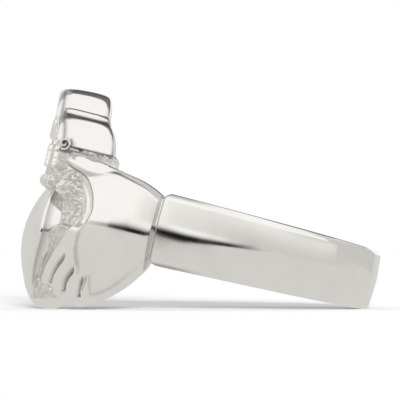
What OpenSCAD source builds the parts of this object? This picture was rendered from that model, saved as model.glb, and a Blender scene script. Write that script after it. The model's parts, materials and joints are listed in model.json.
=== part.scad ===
/* [Finger] */
// Inside diameter of the band
bore_d = 19.8; // [17:0.1:22]

/* [Band] */
// Thickness of the metal at the back of the band
band_back_t = 1.5; // [1.2:0.05:2]
// Thickness of the metal where the band meets the cuffs
band_cuff_t = 1.75; // [1.5:0.05:2.2]
// Width of the band at its back
band_back_w = 4.2; // [3.4:0.1:5]
// Width of the band where it meets the cuffs
band_cuff_w = 5.2; // [4.2:0.1:5.6]
// How far the outer face swells between its two edges
band_swell = 0.14; // [0:0.02:0.3]
// Radius of the rounded long edges
band_edge_r = 0.3; // [0.1:0.05:0.5]

/* [Cuffs] */
// Angle from the middle of the head round to each cuff
cuff_angle = 65; // [63:0.5:69]
// Width of the groove between the band and the cuff
cuff_gap = 0.3; // [0.2:0.05:0.6]
// Depth of that groove
cuff_groove = 0.4; // [0.2:0.05:0.6]

/* [Hands] */
// Height of the knuckles above the finger
hand_t = 2.75; // [2.2:0.05:3.2]
// Upper edge of the hand above the middle of the band
hand_top = 3.35; // [2.8:0.05:3.8]
// Lower edge of the hand below the middle of the band
hand_low = 6.7; // [5.8:0.05:6.9]
// How far the back of the hand falls from its middle to its edges
hand_swell = 0.4; // [0.1:0.05:0.6]
// Width of the bevel along the lower edge of the hand
hand_rim = 0.75; // [0.4:0.05:1]
// How far the underside of the hand rises towards the finger
hand_under = 1.15; // [0.6:0.05:1.4]
// Thickness of a finger from side to side
finger_w = 1.1; // [0.8:0.05:1.3]
// Thickness of a thumb
thumb_w = 1.1; // [0.8:0.05:1.3]

/* [Head] */
// Depth of metal behind the heart, between the hands
floor_t = 2.2; // [1.6:0.05:2.6]
// Radius of the rounded edges of that metal
floor_edge_r = 0.5; // [0.2:0.05:0.8]

/* [Heart] */
// Width of the heart
heart_w = 9.8; // [8:0.1:11]
// Height of the heart from its tip to the top of its lobes
heart_h = 9.35; // [8:0.1:10]
// Tip of the heart below the middle of the band
heart_low = 7.45; // [7:0.05:8]
// Height of the heart's middle above the finger
heart_t = 4.05; // [3.4:0.05:4.6]
// How far its face falls from the middle to its edge
heart_swell = 0.4; // [0.1:0.05:0.6]
// How far its edge falls again from the widest place to the tip
heart_bow = 1.5; // [0.8:0.05:1.8]
// Width of the rounding where its tip meets the finger
heart_under = 1.1; // [0.6:0.05:1.4]

/* [Crown] */
// Top of the crown above the middle of the band
crown_top = 8.45; // [8:0.05:9.2]
// Height of the crown's front above the finger
crown_t = 3.8; // [3.2:0.05:4.4]
// Width of the crown at its foot
crown_w = 10.9; // [9.6:0.1:11.6]
// Radius of each of its three lobes
lobe_r = 2.55; // [2.2:0.05:2.8]
// Distance of the two side lobes from the middle
lobe_side = 2.35; // [2:0.05:2.6]
// How far the side lobes stand below the middle one
lobe_drop = 1.8; // [1.4:0.05:2]
// Width of the raised border of a lobe
lobe_rim = 0.5; // [0.3:0.05:0.8]
// Depth of the field inside that border
lobe_field = 0.45; // [0.2:0.05:0.7]
// Radius of the rounded front and back corners of a lobe
lobe_round = 0.7; // [0.3:0.05:1]
// Diameter of the pearls on the lobes
pearl_d = 1.0; // [0.6:0.05:1.3]
// Height of the beaded rim at the crown's foot
rim_h = 0.95; // [0.7:0.05:1.2]
// Lower edge of the beaded rim above the middle of the band
rim_low = 1.05; // [0.8:0.05:1.3]
// Width of the ribs above the beaded rim
rib_w = 0.45; // [0.3:0.05:0.7]

/* [Hidden] */

bore_r = bore_d / 2;
// Metal drawn inside the bore line, which the bore cuts away
bore_spare = 0.6;
// Length that passes right through the ring
through = 4 * crown_top;

// Band sections: step between them and points across the outer face
band_step = 6;
band_face_steps = 6;
// End of the band at a cuff: widths of the groove past the cuff, then the
// depths of the groove taken off its thickness and off its width
band_end = [[-5, 1, 2], [1, 1, 2], [1.6, 1 / 3, 1]];
// Widths of the groove past the cuff at which the band has its full size
band_start = 3;

// Rows from the knuckles back to the cuff: share of the way, then the upper
// edge, the lower edge and the height as shares of the hand's own sizes
hand_rows = [
  [1.05, 0.97, 0.98, 0.86],
  [0.98, 1.00, 1.00, 0.99],
  [0.88, 1.00, 1.00, 1.00],
  [0.76, 1.00, 0.97, 0.97],
  [0.63, 0.98, 0.93, 0.93],
  [0.50, 0.95, 0.86, 0.89],
  [0.37, 0.91, 0.78, 0.84],
  [0.25, 0.86, 0.69, 0.79],
  [0.15, 0.80, 0.59, 0.74],
  [0.07, 0.74, 0.48, 0.70],
  [0.02, 0.69, 0.41, 0.65],
  [0.00, 0.64, 0.37, 0.52]];
// Points across the back of the hand, as shares of half its width
hand_arc = [for (i = [-5 : 5]) i / 6];
// Bevel along the lower edge of the hand: depth under the face and height
// above the edge, as shares of its width
bevel = [[1.1, 0], [0.4, 1 / 3], [0, 1]];
// Share of the lower edge's bevel and rise that the upper edge has
upper_share = 1 / 3;
// How far short of the cuff angle the palm ends, in widths of the groove
palm_short = 0.25;
// Knuckle line: share of the hand's height, then share of the cuff angle
knuckles = [
  [0.00, 0.67], [0.20, 0.63], [0.38, 0.575], [0.50, 0.575], [0.58, 0.605],
  [0.68, 0.64], [0.78, 0.625], [0.86, 0.565], [0.92, 0.51], [1.00, 0.50]];
// Fingers: share of the cuff angle and of the hand's lower edge at the
// knuckle, then both again at the tip, then the height at the tip
fingers = [
  [0.530, 0.24, 0.350, 0.82, 0.98],
  [0.600, 0.34, 0.455, 0.91, 0.94],
  [0.665, 0.44, 0.550, 0.95, 0.90],
  [0.725, 0.52, 0.640, 0.96, 0.86]];
// Rings from the tip of a finger back: share of its length and thickness
finger_rings = [[1, 0.6], [0.88, 0.92], [0.6, 1], [0.3, 1], [0.08, 0.9], [0, 0.5]];
// Thumb: share of the cuff angle, of the hand's upper edge and of its
// height, then its thickness
thumb_rows = [
  [0.72, 0.76, 0.82, 0.60],
  [0.65, 0.85, 0.88, 0.90],
  [0.58, 0.93, 0.92, 1.00],
  [0.51, 0.99, 0.96, 1.00],
  [0.45, 1.03, 1.01, 1.00],
  [0.40, 1.04, 1.06, 0.92],
  [0.365, 1.03, 1.09, 0.74],
  [0.345, 1.02, 1.09, 0.40]];
// Ends of the metal between the hands, as shares of the cuff angle and of
// the hand's lower and upper edges
floor_reach = 0.71;
floor_low = 0.97;
floor_top = 0.97;
// Depth of a finger and a thumb into the head, and how far their middle
// lies below the height they reach, as shares of their width
finger_depth = 1.7;
finger_sink = 0.5;
thumb_depth = 1.3;
thumb_sink = 0.4;
// Sides of a finger or thumb
digit_sides = 10;

// Half of the heart's outline as two curves, in shares of half its width
// and of its height above the tip
heart_lobe = [[0, 0.875], [0.13, 1.06], [0.95, 1.07], [1, 0.70]];
heart_side = [[1, 0.70], [1.03, 0.42], [0.26, 0.03], [0, 0]];
heart_steps = 10;
// Layers of the heart's face: share of the outline, depth below the edge
// of the face, and share of the swell above that edge
heart_face = [[1, 0.55, 0], [0.985, 0.2, 0], [0.94, 0, 0.12], [0.84, 0, 0.3], [0.7, 0, 0.51],
              [0.54, 0, 0.71], [0.36, 0, 0.87], [0.18, 0, 0.97]];
// Widest place of the heart above its tip, as a share of its height
heart_waist = 0.58;
heart_mid = heart_waist * heart_h - heart_low;
// Layers of the heart's wall: share of the rounding that is left, and the
// height above the finger as a share of that rounding
heart_wall = [[0.95, -0.55], [0.64, -0.06], [0.2, 0.45], [0, 1]];

crown_r = bore_r + crown_t;
lobe_top_z = crown_top - lobe_r;
lobe_side_z = lobe_top_z - lobe_drop;
rim_top = rim_low + rim_h;
// Ribs across the front of the crown, as shares of half its width
ribs = [-0.92, -0.75, -0.37, 0, 0.37, 0.75, 0.92];
// Narrowing of the crown from its foot to its lobes
crown_neck = 0.93;
// Height of the pearls above the lobes' middles, as a share of their radius
pearl_rise = 0.42;
// How far each bead of the rim runs into the next
bead_overlap = 0.08;
// Share of the crown's height at which its foot begins to narrow
neck_z = mix(rim_top, lobe_side_z, 0.65);

// Degrees in a radian
radian = 180 / PI;

function mix(a, b, share) = a + (b - a) * share;
function sum(list, i = 0) = i == len(list) - 1 ? list[i] : list[i] + sum(list, i + 1);
function middle(list) = sum(list) / len(list);

// A point of the ring: angle from the middle of the head, distance from
// the finger's axis, and height along it
function at(angle, r, z) = [-r * cos(angle), -r * sin(angle), z];

function curve(p, t) =
  pow(1 - t, 3) * p[0] + 3 * pow(1 - t, 2) * t * p[1]
  + 3 * (1 - t) * pow(t, 2) * p[2] + pow(t, 3) * p[3];

// A solid through rings of points, each with as many points as the next
module loft(rings) {
  n = len(rings[0]);
  last = len(rings) - 1;
  first_end = n * len(rings);
  points = concat([for (ring = rings) each ring], [middle(rings[0]), middle(rings[last])]);
  sides = [for (i = [0 : last - 1]) for (j = [0 : n - 1]) let (k = (j + 1) % n)
    [i * n + j, i * n + k, (i + 1) * n + k, (i + 1) * n + j]];
  ends = [for (j = [0 : n - 1]) let (k = (j + 1) % n)
    each [[first_end, k, j], [first_end + 1, last * n + j, last * n + k]]];
  polyhedron(points, concat(sides, ends), convexity = 6);
}

// Band section, from the inside bottom round the outer face to the top
function band_section(angle, t, w) = let (half = w / 2, face = half - band_edge_r)
  concat(
    [at(angle, bore_r - bore_spare, -half)],
    [for (a = [-90 : 30 : -30])
      at(angle, bore_r + t - band_edge_r * (1 - cos(a)), -face + band_edge_r * sin(a))],
    [for (i = [0 : band_face_steps]) let (s = 2 * i / band_face_steps - 1)
      at(angle, bore_r + t + band_swell * (1 - s * s), s * face)],
    [for (a = [30 : 30 : 90])
      at(angle, bore_r + t - band_edge_r * (1 - cos(a)), face + band_edge_r * sin(a))],
    [at(angle, bore_r - bore_spare, half)]);

function band_t(share) = mix(band_back_t, band_cuff_t, share * share);
function band_w(share) = mix(band_back_w, band_cuff_w, share);

// Sections of the band, from the groove at one cuff round the back to the
// other: angle, thickness and width
function band_rows() = let (
  gap_angle = atan(cuff_gap / bore_r),
  span = 180 - cuff_angle - band_start * gap_angle,
  steps = ceil(span / band_step),
  ends = [for (e = band_end) [cuff_angle + e[0] * gap_angle,
    band_cuff_t - e[1] * cuff_groove, band_cuff_w - e[2] * cuff_groove]],
  one_side = concat(ends, [for (i = [0 : steps]) let (share = 1 - i / steps)
    [180 - share * span, band_t(share), band_w(share)]]))
  concat(one_side, [for (i = [len(one_side) - 2 : -1 : 0]) let (row = one_side[i])
    [360 - row[0], row[1], row[2]]]);

module band() loft([for (row = band_rows()) band_section(row[0], row[1], row[2])]);

// Section of the hand at one row, from the inside bottom to the inside top
function hand_section(row) =
  let (top = row[1] * hand_top, low = -row[2] * hand_low, t = row[3] * hand_t,
       rim = hand_rim * min(1, row[2]), upper = rim * upper_share, edge = t - hand_swell,
       start = cuff_angle - palm_short * cuff_gap / bore_r * radian)
  [for (p = [
      [-bore_spare, low + hand_under * row[2]],
      each [for (b = bevel) [edge - b[0] * rim, low + b[1] * rim]],
      each [for (s = hand_arc)
        [t - hand_swell * s * s, mix(low + rim, top - upper, (s + 1) / 2)]],
      [edge, top - upper], [edge - upper, top], [-bore_spare, top - hand_under * upper_share]])
    let (share = (p[1] + hand_low) / (hand_top + hand_low),
         end = lookup(share, knuckles) * cuff_angle)
    at(mix(start, end, row[0]), bore_r + p[0], p[1])];

// Palm and back of the hand on the near side
module palm() loft([for (row = hand_rows) hand_section(row)]);

// Ring of points round a digit: its axis lies along the surface, turned by
// lean from straight up, w wide and h high
function digit_ring(angle, z, r, lean, w, h) =
  [for (i = [0 : digit_sides - 1]) let (a = 360 * i / digit_sides,
       across = w / 2 * cos(a), rise = h / 2 * sin(a))
    at(angle + across * cos(lean) / r * radian, r + rise, z + across * sin(lean))];

// One finger, from the knuckle to the tip
module finger(row) {
  r0 = bore_r + hand_t - finger_sink * finger_w;
  r1 = bore_r + row[4] * hand_t - finger_sink * finger_w;
  run = (row[2] - row[0]) * cuff_angle / radian * bore_r;
  fall = (row[3] - row[1]) * hand_low;
  lean = atan2(run, fall);
  loft([for (f = finger_rings)
    digit_ring(mix(row[0], row[2], f[0]) * cuff_angle, -mix(row[1], row[3], f[0]) * hand_low,
      mix(r0, r1, f[0]), lean, f[1] * finger_w, f[1] * finger_w * finger_depth)]);
}

// The thumb, along the foot of the crown
module thumb() loft([for (row = thumb_rows)
  digit_ring(row[0] * cuff_angle, row[1] * hand_top, bore_r + row[2] * hand_t - thumb_sink * thumb_w,
    90, row[3] * thumb_w, row[3] * thumb_w * thumb_depth)]);

module hand() {
  palm();
  thumb();
  for (row = fingers) finger(row);
}

// Metal behind the heart and between the hands, with a rounded lower edge
module head_floor() {
  low = floor_low * -hand_low;
  outer = bore_r + floor_t;
  half_angle = floor_reach * cuff_angle;
  rotate([0, 0, 180 - half_angle]) rotate_extrude(angle = 2 * half_angle, $fn = 96) polygon(concat(
    [[bore_r - bore_spare, low + hand_under / 2]],
    [for (a = [-90 : 30 : 0]) [outer - floor_edge_r * (1 - cos(a)), low + floor_edge_r * (1 + sin(a))]],
    [[outer, floor_top * hand_top], [bore_r - bore_spare, floor_top * hand_top]]));
}

// The heart's outline seen from the front, from the notch round to it again
function heart_outline() = let (
    half = concat([for (i = [0 : heart_steps - 1]) curve(heart_lobe, i / heart_steps)],
                  [for (i = [0 : heart_steps]) curve(heart_side, i / heart_steps)]))
  concat([for (p = half) [p[0] * heart_w / 2, p[1] * heart_h - heart_low]],
         [for (i = [len(half) - 2 : -1 : 1]) [-half[i][0] * heart_w / 2, half[i][1] * heart_h - heart_low]]);

// Height of the heart's edge above the finger, at one height of the ring
function heart_edge(z) = heart_t - heart_swell
  - heart_bow * pow((z - heart_mid) / (heart_mid + heart_low), 2);
// A point of the heart: the outline's point p drawn in by the share s
function heart_point(p, s, rise) = let (z = mix(heart_mid, p[1], s))
  at(asin(p[0] * s / (bore_r + heart_t)), bore_r + rise, z);

function heart_rings() = let (outline = heart_outline(),
    tip_share = heart_under / (heart_mid + heart_low))
  concat(
    [for (w = heart_wall) [for (p = outline)
      heart_point(p, 1 - w[0] * tip_share, w[1] * heart_under)]],
    [for (f = heart_face) [for (p = outline)
      heart_point(p, f[0], heart_edge(mix(heart_mid, p[1], f[0])) - f[1] + f[2] * heart_swell)]]);

module heart() loft(heart_rings());

// A block that runs back from the front of the head, seen from the front
module from_front()
  rotate([90, 0, -90]) translate([0, 0, bore_r / 2]) linear_extrude(2 * bore_r) children();

module lobe_places() {
  translate([0, lobe_top_z]) children();
  for (side = [-1, 1]) translate([side * lobe_side, lobe_side_z]) children();
}

// What lies above the crown's band, seen from the front
module above_band(lift = 0) translate([-crown_w / 2, lobe_side_z + lift]) square([crown_w, crown_top]);

// One lobe, with its front and back corners rounded as seen from the side
module lobe_block(y, z) {
  top = z + lobe_r;
  back = sqrt(pow(bore_r, 2) - pow(abs(y) + lobe_r / 2 * sign(abs(y)), 2));
  intersection() {
    from_front() intersection() {
      translate([y, z]) circle(r = lobe_r, $fn = 64);
      above_band();
    }
    cylinder(r = crown_r, h = through, center = true, $fn = 96);
    rotate([90, 0, 0]) translate([0, 0, -lobe_r - lobe_side]) linear_extrude(2 * (lobe_r + lobe_side))
      polygon(concat(
        [[-crown_r, lobe_side_z], [-back / 2, lobe_side_z]],
        [for (a = [0 : 15 : 90]) [lobe_round * (cos(a) - 1) - back, top + lobe_round * (sin(a) - 1)]],
        [for (a = [90 : 15 : 180]) [lobe_round * (cos(a) + 1) - crown_r, top + lobe_round * (sin(a) - 1)]]));
  }
}

// The three lobes with a sunk field inside their raised border
module crown_lobes() difference() {
  union() {
    lobe_block(0, lobe_top_z);
    lobe_block(lobe_side, lobe_side_z);
    lobe_block(-lobe_side, lobe_side_z);
  }
  difference() {
    from_front() intersection() {
      lobe_places() circle(r = lobe_r - lobe_rim, $fn = 48);
      above_band(lobe_rim);
    }
    cylinder(r = crown_r - lobe_field, h = through, center = true, $fn = 96);
  }
}

module pearls() for (y = [0, -lobe_side, lobe_side])
  let (z = (y == 0 ? lobe_top_z : lobe_side_z) + pearl_rise * lobe_r)
    translate([-sqrt(pow(crown_r - lobe_field, 2) - y * y), y, z]) sphere(d = pearl_d, $fn = 24);

// The band between the beaded rim and the lobes, with its upright ribs
module crown_band() {
  half = crown_w / 2;
  intersection() {
    from_front() polygon([[-half, rim_low], [half, rim_low], [half, neck_z],
      [half * crown_neck, lobe_side_z], [half * crown_neck, lobe_side_z + lobe_rim],
      [-half * crown_neck, lobe_side_z + lobe_rim], [-half * crown_neck, lobe_side_z], [-half, neck_z]]);
    cylinder(r = crown_r - lobe_field, h = through, center = true, $fn = 96);
  }
  for (share = ribs) rotate([0, 0, asin(share * half / crown_r)])
    translate([-crown_r + rib_w / 2 + bead_overlap, 0, rim_top])
      cylinder(d = rib_w, h = lobe_side_z - rim_top + lobe_rim / 2, $fn = 24);
}

// The beaded rim at the foot of the crown
module crown_rim() {
  half_angle = asin(crown_w / 2 / crown_r);
  count = round(crown_w / rim_h);
  for (i = [0 : count - 1]) rotate([0, 0, mix(-half_angle, half_angle, (i + 0.5) / count)])
    translate([rim_h / 2 - crown_r, 0, rim_low + rim_h / 2])
      sphere(d = rim_h + bead_overlap, $fn = 24);
}

module crown() {
  crown_lobes();
  pearls();
  crown_band();
  crown_rim();
}

// Lowest and outermost values of points once the ring is tilted
function tilted(p, tilt) =
  [p[0] * cos(tilt) + p[2] * sin(tilt), p[1], p[2] * cos(tilt) - p[0] * sin(tilt)];
function reach(points, tilt, axis, sign) =
  sign * max([for (p = points) if (norm([p[0], p[1]]) >= bore_r) sign * tilted(p, tilt)[axis]]);

// Tilt at which the heart's tip and the back of the band touch the same
// level, found by halving the range between lo and hi
function rest_tilt(tip, back, lo = 0, hi = 45, left = 24) = let (tilt = (lo + hi) / 2)
  left == 0 ? tilt
  : reach(tip, tilt, 2, -1) < reach(back, tilt, 2, -1) ? rest_tilt(tip, back, tilt, hi, left - 1)
  : rest_tilt(tip, back, lo, tilt, left - 1);

// The ring lies on its side, on the heart's tip and the back of the band
module lie_down() {
  tip = [for (ring = heart_rings()) each ring];
  back = [for (row = band_rows()) each band_section(row[0], row[1], row[2])];
  tilt = rest_tilt(tip, back);
  middle_x = (reach(tip, tilt, 0, -1) + reach(back, tilt, 0, 1)) / 2;
  translate([-middle_x, 0, -reach(tip, tilt, 2, -1)]) rotate([0, tilt, 0]) children();
}

module ring() color("silver") lie_down() difference() {
  union() {
    band();
    head_floor();
    heart();
    crown();
    hand();
    mirror([0, 1, 0]) hand();
  }
  cylinder(d = bore_d, h = through, center = true, $fn = 128);
}

ring();
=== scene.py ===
"""A cast silver claddagh ring, lying on its side on a white table.

The band, the two hands, the metal between them, the heart and the crown are
modelled in the ring's own coordinates, in millimetres: the finger's axis is
z, the middle of the head faces -x and the hand that faces the camera lies on
the -y side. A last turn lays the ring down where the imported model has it.
"""

import json
import logging
import math
from dataclasses import dataclass
from enum import Enum

import bmesh
import bpy
import numpy as np
from mathutils import Euler, Matrix, Vector, noise


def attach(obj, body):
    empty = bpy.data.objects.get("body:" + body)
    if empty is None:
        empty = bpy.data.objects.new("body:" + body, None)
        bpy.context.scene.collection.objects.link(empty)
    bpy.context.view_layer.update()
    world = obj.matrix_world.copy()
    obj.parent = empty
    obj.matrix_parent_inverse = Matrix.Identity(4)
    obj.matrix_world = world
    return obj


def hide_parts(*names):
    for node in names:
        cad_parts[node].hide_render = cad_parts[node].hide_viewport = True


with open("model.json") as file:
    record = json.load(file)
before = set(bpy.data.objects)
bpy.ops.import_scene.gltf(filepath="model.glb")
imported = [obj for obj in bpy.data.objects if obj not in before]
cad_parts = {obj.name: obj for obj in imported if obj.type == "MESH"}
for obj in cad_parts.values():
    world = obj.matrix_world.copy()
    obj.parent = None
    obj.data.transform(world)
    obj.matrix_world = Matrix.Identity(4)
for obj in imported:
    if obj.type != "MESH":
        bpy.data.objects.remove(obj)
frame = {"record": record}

logging.basicConfig(level=logging.INFO, format="%(message)s")
log = logging.getLogger("ring")

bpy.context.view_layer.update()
NODE = "ring"


# ---------------------------------------------------------------- numbers

def smooth_line(points: list[tuple[float, float]], steps: int = 8) -> np.ndarray:
    """Draws a smooth line through points.

    Args:
        points: The points that the line goes through, in order.
        steps: How many pieces each gap between two points is cut into.

    Returns:
        The line's points, one in each row.
    """
    p = np.array(points, float)
    p = np.vstack([2 * p[0] - p[1], p, 2 * p[-1] - p[-2]])
    t = np.linspace(0, 1, steps, endpoint=False)[:, None]
    rows = []
    for a, b, c, d in zip(p, p[1:], p[2:], p[3:]):
        rows.append(0.5 * (2 * b + (c - a) * t + (2 * a - 5 * b + 4 * c - d) * t**2
                           + (3 * b - a - 3 * c + d) * t**3))
    rows.append(p[-2][None])
    return np.vstack(rows)


def off_line(places: np.ndarray, line: np.ndarray) -> tuple[np.ndarray, np.ndarray]:
    """Measures how far places lie from a line.

    Args:
        places: The places, one in each row.
        line: The line's points, one in each row.

    Returns:
        The distance, positive on the left of the line's direction, and the
        share of the line's length at the nearest point.
    """
    best = np.full(len(places), np.inf)
    signed = np.zeros(len(places))
    share = np.zeros(len(places))
    steps = np.linalg.norm(np.diff(line, axis=0), axis=1)
    run, total = 0.0, steps.sum()
    for a, b, step in zip(line, line[1:], steps):
        along = (b - a) / max(step, 1e-9)
        rel = places - a
        t = np.clip(rel @ along, 0, step)
        gap = rel - t[:, None] * along
        distance = np.hypot(gap[:, 0], gap[:, 1])
        nearer = distance < best
        side = np.sign(along[0] * rel[:, 1] - along[1] * rel[:, 0])
        best = np.where(nearer, distance, best)
        signed = np.where(nearer, side * distance, signed)
        share = np.where(nearer, (run + t) / total, share)
        run += step
    return signed, share


def fade(value: np.ndarray, low: float, high: float) -> np.ndarray:
    """Goes smoothly from 0 at low to 1 at high."""
    t = np.clip((value - low) / (high - low), 0, 1)
    return t * t * (3 - 2 * t)


def bell(value: np.ndarray, middle: float, width: float) -> np.ndarray:
    """Gives a bump that is 1 at middle and falls off over width."""
    return np.exp(-((value - middle) / width)**2)


def soft_min(a: np.ndarray, b: np.ndarray, reach: float) -> np.ndarray:
    """Gives the lower of two heights, rounded over reach where they cross."""
    h = np.clip(0.5 + 0.5 * (b - a) / reach, 0, 1)
    return b + (a - b) * h - reach * h * (1 - h)


def soft_max(a: np.ndarray, b: np.ndarray, reach: float) -> np.ndarray:
    """Gives the higher of two heights, rounded over reach where they cross."""
    return -soft_min(-a, -b, reach)


def rounded(distance: np.ndarray, radius: float) -> np.ndarray:
    """Gives how far a rounded edge falls at a distance from its end."""
    inside = np.clip(radius - distance, 0, radius)
    return radius - np.sqrt(np.maximum(radius**2 - inside**2, 0))


def grit(places: np.ndarray, size: float, seed: float) -> np.ndarray:
    """Gives the grain that casting sand leaves.

    Args:
        places: The places in millimetres, one in each row.
        size: The size of one grain, in millimetres.
        seed: A shift, so that no two surfaces get the same grain.

    Returns:
        A height for each place, from about -1 to 1.
    """
    shift = Vector((seed, 2 * seed, -seed))
    rows = []
    for p in places:
        v = Vector(p) / size + shift
        rows.append(0.62 * noise.noise(v) + 0.3 * noise.noise(v * 2.1) + 0.16 * noise.noise(v * 4.3))
    return np.array(rows) * 1.5


# ------------------------------------------------------------ the ring's place

@dataclass(frozen=True)
class Bore:
    """The round hole for the finger, which carries the ring's coordinates.

    Args:
        centre: Where the ring's own origin lies on the table, in millimetres.
        tilt: How far the finger's axis leans, in radians.
        radius: The hole's radius, in millimetres.
    """

    centre: tuple[float, float, float]
    tilt: float
    radius: float

    @classmethod
    def from_record(cls, record: dict) -> "Bore":
        """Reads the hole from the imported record.

        Args:
            record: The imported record.

        Returns:
            The hole.
        """
        mount = record["mounts"][0]
        x, _, z = mount["axis"]
        centre = tuple(1000 * v for v in mount["pos_m"])
        return cls(centre, math.atan2(x, z), mount["dims"]["r_mm"])

    def matrix(self) -> Matrix:
        """Gives the turn from the ring's millimetres to the table's metres."""
        return (Matrix.Scale(0.001, 4) @ Matrix.Translation(self.centre)
                @ Matrix.Rotation(self.tilt, 4, "Y"))

    def ahead(self, height: float, y: np.ndarray) -> np.ndarray:
        """Gives how far a height above the finger lies ahead of the axis at y."""
        return np.sqrt(np.maximum((self.radius + height)**2 - y**2, 0))

    def bend(self, angle: np.ndarray, height: np.ndarray, z: np.ndarray) -> np.ndarray:
        """Wraps places round the finger.

        Args:
            angle: Angles from the middle of the head, in radians, growing
                towards the camera's side.
            height: Heights above the finger.
            z: Heights along the finger.

        Returns:
            The ring's coordinates, one place in each row.
        """
        r = self.radius + height
        return np.stack([-r * np.cos(angle), -r * np.sin(angle), z], axis=1)


def coordinates(bm: bmesh.types.BMesh) -> np.ndarray:
    """Gives the places of a mesh's points, one in each row."""
    return np.array([v.co[:] for v in bm.verts])


def move_to(bm: bmesh.types.BMesh, places: np.ndarray) -> None:
    """Moves a mesh's points to new places, given one in each row."""
    for v, place in zip(bm.verts, places):
        v.co = place


def of_type(result: dict, kind: type) -> list:
    """Picks the points, edges or faces out of an operator's result."""
    return [g for g in result["geom"] if isinstance(g, kind)]


def close_holes(bm: bmesh.types.BMesh) -> None:
    """Closes each open end of a mesh with one face."""
    bmesh.ops.holes_fill(bm, edges=[e for e in bm.edges if e.is_boundary], sides=0)


def to_mesh(bm: bmesh.types.BMesh, name: str) -> bpy.types.Mesh:
    """Turns a mesh in the making into mesh data.

    Args:
        bm: The mesh in the making. It is freed.
        name: The data's name.

    Returns:
        The mesh data.
    """
    mesh = bpy.data.meshes.new(name)
    bm.to_mesh(mesh)
    bm.free()
    return mesh


def put(name: str, data: bpy.types.ID) -> bpy.types.Object:
    """Puts data into the scene.

    Args:
        name: The object's name.
        data: The mesh, lamp or lens that it shows.

    Returns:
        The object.
    """
    made = bpy.data.objects.new(name, data)
    bpy.context.scene.collection.objects.link(made)
    return made


def aimed(toward: Vector) -> Euler:
    """Gives the turn that aims a lamp or a camera in a direction."""
    return toward.to_track_quat("-Z", "Y").to_euler()


def warm(level: float) -> tuple[float, float, float, float]:
    """Gives the slightly warm white of the studio at a brightness."""
    return (level, level * 0.985, level * 0.955, 1)


def turned(outlines: np.ndarray) -> bmesh.types.BMesh:
    """Spins a tube and fits its rings to outlines, with both ends closed.

    Args:
        outlines: The rings' places, as an array of rings, points and
            coordinates.

    Returns:
        The closed mesh.
    """
    rings, points = outlines.shape[:2]
    bm = bmesh.new()
    edge = bm.edges.new([bm.verts.new((1, 0, 0)), bm.verts.new((1, 0, rings - 1))])
    bmesh.ops.subdivide_edges(bm, edges=[edge], cuts=rings - 2)
    bmesh.ops.spin(bm, geom=bm.verts[:] + bm.edges[:], cent=(0, 0, 0), axis=(0, 0, 1),
                   dvec=(0, 0, 0), angle=2 * math.pi, steps=points,
                   use_merge=True, use_duplicate=False)
    co = coordinates(bm)
    turn = np.rint(np.arctan2(co[:, 1], co[:, 0]) / (2 * math.pi) * points).astype(int) % points
    move_to(bm, outlines[np.rint(co[:, 2]).astype(int), turn])
    close_holes(bm)
    return bm


def thick_sheet(columns: int, rows: int) -> bmesh.types.BMesh:
    """Makes a closed sheet with a fine outer face and a coarse inner one.

    Args:
        columns: How many faces the sheet is wide.
        rows: How many faces the outer face is high.

    Returns:
        The sheet over the unit square: its outer face at 1, its inner at 0.
    """
    bm = bmesh.new()
    bmesh.ops.create_grid(bm, x_segments=columns, y_segments=rows, size=0.5)
    grown = bmesh.ops.extrude_face_region(bm, geom=bm.faces[:])
    bmesh.ops.translate(bm, verts=of_type(grown, bmesh.types.BMVert), vec=(0, 0, 1))
    step = 1 / rows
    across = [e for e in bm.edges if all(v.co.z < 0.5 for v in e.verts)
              and abs(e.verts[0].co.y - e.verts[1].co.y) < step / 2
              and abs(e.verts[0].co.y) < 0.5 - step / 2]
    bmesh.ops.dissolve_edges(bm, edges=across, use_verts=True, use_face_split=False)
    return bm


def finish_piece(bm: bmesh.types.BMesh, name: str, bore: Bore,
                 finishes: list[bpy.types.Material], sharp: float = 38,
                 grime: np.ndarray | None = None) -> None:
    """Makes a mesh one piece of the ring and lays it on the table.

    Args:
        bm: The mesh, in the ring's millimetres. It is freed.
        name: The piece's name.
        bore: The hole that places it.
        finishes: Its materials, in the order of the faces' indices.
        sharp: The angle in degrees above which an edge stays sharp.
        grime: How dark each point is painted, as painted shade and dark reflection lines in creases and
            hollows.
    """
    bmesh.ops.recalc_face_normals(bm, faces=bm.faces[:])
    if bm.calc_volume(signed=True) < 0:
        bmesh.ops.reverse_faces(bm, faces=bm.faces[:])
    for face in bm.faces:
        face.smooth = True
    for edge in bm.edges:
        edge.smooth = len(edge.link_faces) == 2 and edge.calc_face_angle(0) < math.radians(sharp)
    bmesh.ops.transform(bm, matrix=bore.matrix(), verts=bm.verts[:])
    mesh = to_mesh(bm, name)
    for finish in finishes:
        mesh.materials.append(finish)
    # The painted shade goes onto the mesh as a point attribute that the finishes read.
    layer = mesh.attributes.new("grime", "FLOAT", "POINT")
    layer.data.foreach_set("value", np.zeros(len(mesh.vertices)) if grime is None else grime)
    piece = put(name, mesh)
    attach(piece, "root")
    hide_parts(NODE)
    log.info("%s: %d faces", name, len(mesh.polygons))


# ---------------------------------------------------------------- finishes

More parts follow.
